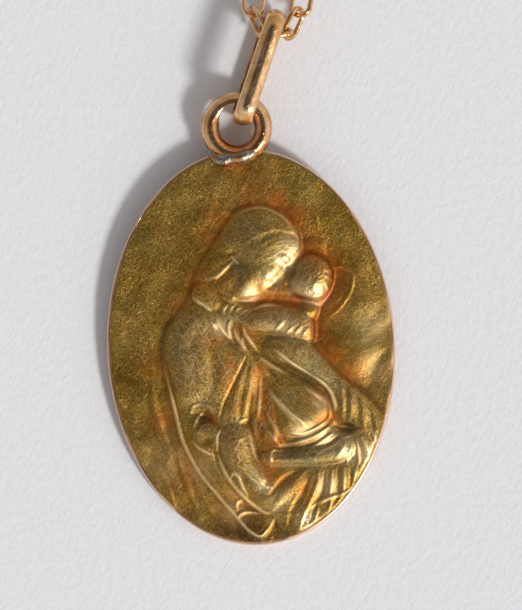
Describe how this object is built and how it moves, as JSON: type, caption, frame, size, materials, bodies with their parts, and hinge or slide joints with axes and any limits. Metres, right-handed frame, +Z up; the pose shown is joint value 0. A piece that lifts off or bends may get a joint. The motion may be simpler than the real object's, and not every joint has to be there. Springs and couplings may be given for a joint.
{
  "type": "medal necklace",
  "caption": "Gold necklace with an oval devotional medal, its soldered ring and long bail on a fine cable chain, laid out flat.",
  "frame": {"origin": "on the surface it lies on, under the middle of the whole necklace", "axes": "+Z up from the surface, +Y from the medal towards the clasp, which is up in the picture, and +X to the right"},
  "size_m": [0.1024, 0.188, 0.0042],
  "materials": {
    "medal_gold": "satin yellow gold, worn, with tarnish in the recesses",
    "rose_gold": "polished rose-tinted gold"
  },
  "bodies": {
    "root": {"medal": "medal_gold", "bail": "rose_gold", "chain_left": "rose_gold", "chain_right": "rose_gold", "clasp": "rose_gold"}
  },
  "joints": []
}
